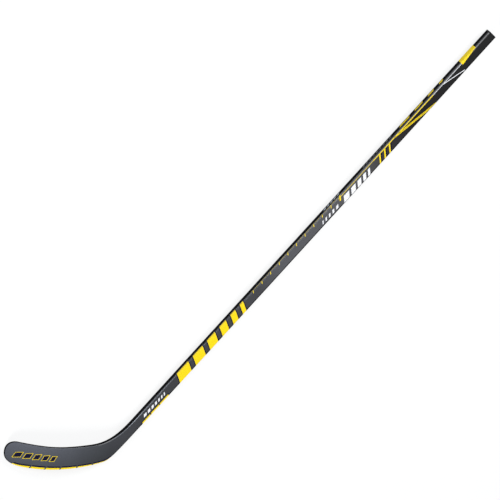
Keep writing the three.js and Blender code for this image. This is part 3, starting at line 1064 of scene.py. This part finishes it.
# Faint lengthwise fibres, and the lacquer's gloss
FIBRE_SCALE = 1.2
FIBRE_STRETCH = (30, 1, 1)
FIBRE_SPREAD = (0.3, 0.7)
FIBRE_SHADE = 0.86
LACQUER_ROUGHNESS = (0.28, 0.34)
WAVE_HEIGHT = 0.00001
BLADE_COAT = 1.0
SHAFT_COAT = 0.55
COAT_ROUGHNESS = 0.15


def make_lacquer(name, direction, colours, coat, with_painted_shade=False):
    """Clear-coated lacquer whose grey changes in a direction of the stick's own, over faint
    lengthwise fibres. One with painted shade darkens towards the ice."""
    shader = Shader(name)
    first, last = colours[0][0], colours[-1][0]
    along = shader.ranged(shader.measured(direction), 0.0, 1.0, first, last)
    stops = [((place - first) / (last - first), srgb(*colour)) for place, colour in colours]
    grey = shader.ramp(along, stops)
    fibres = shader.noise(FIBRE_SCALE, detail=3.0, stretch=FIBRE_STRETCH)
    streaks = shader.ramp(fibres, list(zip(FIBRE_SPREAD, (shade(FIBRE_SHADE), shade(1.0)))))
    lacquer = shader.mixed("MULTIPLY", 1.0, grey, streaks)
    # Painted shade: the blade's colour darkens towards the ice, as though less light fell there
    if with_painted_shade:
        height = shader.measured((math.sin(LIE), math.cos(LIE), 0))
        low_to_high = shader.ranged(height, 0.0, 1.0, *PAINTED_SHADE_HEIGHTS)
        painted_shade_ramp = shader.ramp(low_to_high, [(0.0, shade(PAINTED_SHADE_SHARE)), (1.0, shade(1.0))])
        lacquer = shader.mixed("MULTIPLY", 1.0, lacquer, painted_shade_ramp)
    shader.colour(lacquer)
    shader.roughness(shader.ranged(shader.noise(scale=0.35), *LACQUER_ROUGHNESS))
    shader.bump(shader.noise(scale=0.4), WAVE_HEIGHT)
    shader.set(Specular_IOR_Level=0.5, Coat_Weight=coat, Coat_Roughness=COAT_ROUGHNESS)
    return shader.material


def mottled(name, scale, detail, spread, colours, roughness, stretch=(1, 1, 1)):
    """A material whose colour and roughness follow one noise, together with that noise."""
    shader = Shader(name)
    noise = shader.noise(scale, detail, stretch)
    shader.colour(shader.tones(noise, spread, colours))
    shader.roughness(shader.ranged(noise, *roughness))
    return shader, noise


PAINT_GRAIN = 3.0


def make_edge_paint():
    """Matt black on the narrow sides and round the blade."""
    shader, _ = mottled(
        "black_edge", scale=0.5, detail=3.0, spread=(0.3, 0.7),
        colours=((6, 6, 8), (11, 11, 13)), roughness=(0.42, 0.55),
    )
    shader.bump(shader.noise(PAINT_GRAIN), height=0.00002)
    shader.set(Specular_IOR_Level=0.02)
    return shader.material


# Inks, each by its deeper and its fuller colour
YELLOW_INK = ((243, 211, 24), (246, 217, 30))
PALE_INK = ((226, 227, 230), (240, 241, 244))
SILVER_INK = ((150, 155, 162), (176, 181, 188))
GREY_INK = ((72, 76, 82), (92, 96, 102))
DARK_INK = ((12, 12, 42), (16, 16, 52))


def make_ink(name, colours):
    """Printed ink with a slightly uneven cover."""
    shader, _ = mottled(
        name, scale=0.25, detail=4.0, spread=(0.25, 0.75), colours=colours, roughness=(0.4, 0.52)
    )
    shader.bump(shader.noise(PAINT_GRAIN), height=0.00001)
    shader.set(Specular_IOR_Level=0.3)
    return shader.material


def make_cap_plastic():
    """Moulded black plastic with a fine grain."""
    shader, grain = mottled(
        "cap_plastic", scale=2.0, detail=4.0, spread=(0.3, 0.7),
        colours=((18, 18, 19), (30, 30, 31)), roughness=(0.5, 0.65),
    )
    shader.bump(grain, height=0.00005)
    shader.set(Specular_IOR_Level=0.3)
    return shader.material


FOAM_CELLS = 1.4
FOAM_SPREAD = (0.1, 0.7)
FOAM_COLOURS = ((202, 188, 148), (232, 221, 190))


def make_foam():
    """Pale closed-cell foam."""
    shader = Shader("core_foam")
    cells = shader.nodes.new("ShaderNodeTexVoronoi")
    cells.inputs["Scale"].default_value = FOAM_CELLS
    shader.link(shader.stick_coordinates(), cells.inputs["Vector"])
    distance = cells.outputs["Distance"]
    shader.colour(shader.tones(distance, FOAM_SPREAD, FOAM_COLOURS))
    shader.bump(distance, height=0.0002)
    shader.set(Roughness=0.9)
    return shader.material


def make_carbon():
    """Bare carbon fibre, with its tows along the stick."""
    shader, tows = mottled(
        "bare_carbon", scale=1.5, detail=3.0, spread=(0.35, 0.65),
        colours=((18, 18, 20), (46, 46, 50)), roughness=(0.3, 0.55), stretch=(12, 1, 1),
    )
    shader.bump(tows, height=0.00005)
    return shader.material


def make_glue():
    """Amber epoxy."""
    shader, _ = mottled(
        "epoxy", scale=0.4, detail=3.0, spread=(0.3, 0.7),
        colours=((168, 132, 62), (204, 172, 98)), roughness=(0.2, 0.4),
    )
    return shader.material


# The inner pieces stay as they are in the solids

def dress_solids():
    foam, carbon, glue = make_foam(), make_carbon(), make_glue()
    finishes = {
        "joint_adhesive": glue,
        "hosel_core": foam,
        "upper_core": foam,
        "lower_core": foam,
        "blade_rib": carbon,
    }
    for name, material in finishes.items():
        for slot in frame["nodes"][name].material_slots:
            slot.material = material


def dress_stick():
    black = make_edge_paint()
    towards_toe = (-math.cos(LIE), math.sin(LIE), 0)
    # The blade's lacquer carries painted shade that darkens it towards the ice
    blade_lacquer = make_lacquer("blade_lacquer", towards_toe, BLADE_COLOURS, BLADE_COAT, True)
    make_blade(blade_lacquer, black)
    make_shaft(make_lacquer("shaft_lacquer", (1, 0, 0), SHAFT_COLOURS, SHAFT_COAT), black)
    make_cap(make_cap_plastic())


def print_marks():
    yellow = make_ink("yellow_ink", YELLOW_INK)
    pale = make_ink("pale_ink", PALE_INK)
    silver = make_ink("silver_ink", SILVER_INK)
    grey = make_ink("grey_ink", GREY_INK)
    dark = make_ink("dark_ink", DARK_INK)
    bars = large_bars()
    bar_outlines = [widened(bar, BAR_OUTLINE) for bar in bars]
    dash_outlines = [widened(dash, DASH_OUTLINE) for dash in edge_dashes()]
    shaft_films = {
        "bar_outlines": (dark, on_both_faces(bar_outlines), OUTLINE_LIFT),
        "large_bars": (yellow, on_both_faces(bars), FILM_LIFT),
        "dash_outlines": (dark, dash_outlines, OUTLINE_LIFT),
        "edge_dashes": (yellow, edge_dashes(), FILM_LIFT),
        "ruler": (yellow, on_both_faces(ruler()), FILM_LIFT),
        "pale_slashes": (pale, on_both_faces(pale_slashes()), FILM_LIFT),
        "dark_lines": (dark, on_both_faces(dark_lines()), OUTLINE_LIFT),
        "yellow_lines": (yellow, on_both_faces(yellow_lines()), FILM_LIFT),
        "pale_lines": (pale, on_both_faces(pale_lines()), FILM_LIFT),
        "butt_band": (yellow, butt_band(), FILM_LIFT),
        "pale_side_bars": (silver, even_side_bars(PALE_SIDE_START, PALE_SIDE_COUNT), FILM_LIFT),
        "grey_side_bars": (grey, even_side_bars(GREY_SIDE_START, GREY_SIDE_COUNT), FILM_LIFT),
        "yellow_side_bars": (yellow, yellow_side_bars(), FILM_LIFT),
    }
    for name, (ink, shapes, lift) in shaft_films.items():
        film(name, ink, shapes, on_shaft, lift, SHAFT_SPACING)
    toe_outlines = [widened(bar, TOE_BAR_OUTLINE) for bar in toe_bars()]
    face, bottom, forehand_bottom = blade_face(1), blade_bottom(1), blade_bottom(-1)
    shadow = bottom_band(BAND_SHADOW)
    blade_films = {
        "toe_bar_outlines": (yellow, toe_outlines, face, OUTLINE_LIFT, BLADE_SPACING),
        "toe_bars": (dark, toe_bars(), face, FILM_LIFT, BLADE_SPACING),
        "band_shadow": (dark, shadow, bottom, OUTLINE_LIFT, BAND_SPACING),
        "band": (yellow, bottom_band(), bottom, FILM_LIFT, BAND_SPACING),
        "forehand_band": (yellow, bottom_band(), forehand_bottom, FILM_LIFT, BAND_SPACING),
    }
    for name, (ink, shapes, surface, lift, spacing) in blade_films.items():
        film(name, ink, shapes, surface, lift, spacing)


# Floor, lights and camera, in metres

# The floor throws back light as a dull grey does, and looks pale where it is seen, with a share
# of plain white that grows with the distance from the stick
FLOOR_SIZE = 12
FLOOR_DROP = 0.0002
FLOOR_CLOUD = 0.004
FLOOR_SPREAD = (0.3, 0.7)
FLOOR_GREYS = ((176, 176, 176), (182, 182, 182))
FLOOR_PALES = ((242, 242, 242), (246, 246, 246))
BACKGROUND_GLOW = 0.96
NEAR_GLOW = 0.8
GLOW_DISTANCES = (1, 4)


def make_floor():
    """A plain floor, on which the stick's shadow shows faintly."""
    bm = bmesh.new()
    bmesh.ops.create_grid(bm, x_segments=4, y_segments=4, size=FLOOR_SIZE / 2)
    mesh = bpy.data.meshes.new("floor")
    bm.to_mesh(mesh)
    bm.free()
    floor = bpy.data.objects.new("floor", mesh)
    floor.location.z = -FLOOR_DROP
    bpy.context.scene.collection.objects.link(floor)
    shader = Shader("pale_floor")
    cloud = shader.noise(FLOOR_CLOUD)
    grey = shader.tones(cloud, FLOOR_SPREAD, FLOOR_GREYS)
    pale = shader.tones(cloud, FLOOR_SPREAD, FLOOR_PALES)
    tree = shader.material.node_tree
    seen = rays(tree, "Is Camera Ray", "Is Glossy Ray", "Is Transmission Ray")
    shader.colour(shader.mixed("MIX", seen, grey, pale))
    shader.set(Roughness=0.9, Specular_IOR_Level=0.1)
    coordinates = shader.nodes.new("ShaderNodeTexCoord")
    distance = shader.nodes.new("ShaderNodeVectorMath")
    distance.operation = "LENGTH"
    shader.link(coordinates.outputs["Object"], distance.inputs[0])
    away = shader.ranged(distance.outputs["Value"], NEAR_GLOW, BACKGROUND_GLOW, *GLOW_DISTANCES)
    shader.show_as_white(seen, away)
    mesh.materials.append(shader.material)


def placed(right, up, back, location):
    """The matrix of an object with those three directions at a location."""
    matrix = Matrix((right, up, back)).transposed().to_4x4()
    matrix.translation = location
    return matrix


PLAIN_LIGHT = (1, 1, 1)
COOL_LIGHT = (0.8, 0.89, 1)
WORLD_STRENGTH = 0.2


def area_light(name, aim, direction, distance, size, power, colour=PLAIN_LIGHT, mirrored=True):
    """A soft rectangular lamp that lights the stick at a height up the shaft, and is seen from
    there in a direction of the stick's own. Its first side runs along the shaft. The lacquer
    shows no glare of one that isn't mirrored."""
    lamp = bpy.data.lights.new(name, "AREA")
    lamp.shape = "RECTANGLE"
    lamp.size, lamp.size_y = size
    lamp.energy = power
    lamp.color = colour
    back = (U_AXIS * direction[0] + W_AXIS * direction[1] + N_AXIS * direction[2]).normalized()
    right = (U_AXIS - back * U_AXIS.dot(back)).normalized()
    target = in_frame(Vector((aim, 0, 0)))
    light = bpy.data.objects.new(name, lamp)
    light.matrix_world = placed(right, back.cross(right), back, target + back * distance)
    light.visible_glossy = mirrored
    bpy.context.scene.collection.objects.link(light)


def make_lamps():
    """Two keys low beyond the stick's ends, and strips that the neck, throat and butt mirror."""
    area_light(
        "butt_key", aim=STICK_LENGTH / 2, direction=(0.91, -0.12, 0.39), distance=6.5,
        size=(1.6, 1.6), power=410, mirrored=False,
    )
    area_light(
        "toe_key", aim=STICK_LENGTH / 2, direction=(-0.9, -0.12, 0.42), distance=6.5,
        size=(1.6, 1.6), power=290, mirrored=False,
    )
    area_light(
        "neck_strip", aim=190, direction=(0, 0.85, 0.52), distance=2.4,
        size=(0.3, 1.3), power=10, colour=COOL_LIGHT,
    )
    area_light(
        "throat_strip", aim=0, direction=(0.29, 0.73, 0.62), distance=12.0,
        size=(3.6, 6.5), power=220, colour=COOL_LIGHT,
    )
    area_light(
        "butt_strip", aim=STICK_LENGTH, direction=(0, 0.57, 0.82), distance=2.4,
        size=(0.8, 2.8), power=22,
    )


def make_world():
    """Pale light from all round, which the camera sees as white."""
    world = bpy.data.worlds.new("studio")
    world.use_nodes = True
    tree = world.node_tree
    background = tree.nodes["Background"]
    background.inputs["Color"].default_value = (1, 1, 1, 1)
    strength = tree.nodes.new("ShaderNodeMapRange")
    strength.inputs["To Min"].default_value = WORLD_STRENGTH
    strength.inputs["To Max"].default_value = BACKGROUND_GLOW
    seen = rays(tree, "Is Camera Ray", "Is Transmission Ray")
    tree.links.new(seen, strength.inputs["Value"])
    tree.links.new(strength.outputs["Result"], background.inputs["Strength"])
    bpy.context.scene.world = world


# The photograph's view: it looks down on the backhand face, from the toe side by the tilt and
# from the blade's end by the lean. The shaft rises in the picture by the slope, and the heel
# corner lies at that pixel.
PICTURE_SIZE = 500
PICTURE_WIDTH_MM = 1329
VIEW_TILT = math.radians(35)
VIEW_LEAN = -0.05
SHAFT_SLOPE = math.radians(47.65)
HEEL_PIXEL = Vector((109.21, 459.43))
CAMERA_DISTANCE = 50
SENSOR_WIDTH = 36


def make_camera():
    """A distant camera at the photograph's angle, whose frame is the picture's."""
    level = math.sqrt(1 - VIEW_LEAN**2)
    back = Vector((VIEW_LEAN, math.sin(VIEW_TILT) * level, math.cos(VIEW_TILT) * level))
    along = (Vector((1, 0, 0)) - back * VIEW_LEAN).normalized()
    across = back.cross(along)
    cos, sin = math.cos(SHAFT_SLOPE), math.sin(SHAFT_SLOPE)
    right = along * cos - across * sin
    up = along * sin + across * cos
    off_centre = Vector((PICTURE_SIZE / 2, PICTURE_SIZE / 2)) - HEEL_PIXEL
    scale = PICTURE_WIDTH_MM / PICTURE_SIZE
    target = in_frame((right * off_centre.x - up * off_centre.y) * scale)
    turned = [in_frame(direction) - HEEL_CORNER for direction in (right, up, back)]
    turned = [direction.normalized() for direction in turned]
    camera = bpy.data.cameras.new("camera")
    camera.sensor_width = SENSOR_WIDTH
    camera.lens = SENSOR_WIDTH * CAMERA_DISTANCE / (PICTURE_WIDTH_MM * MM)
    view = bpy.data.objects.new("camera", camera)
    view.matrix_world = placed(*turned, target + turned[2] * CAMERA_DISTANCE)
    bpy.context.scene.collection.objects.link(view)
    bpy.context.scene.camera = view


dress_solids()
dress_stick()
print_marks()
make_floor()
make_world()
make_lamps()
make_camera()
bpy.context.scene.view_settings.view_transform = "Standard"
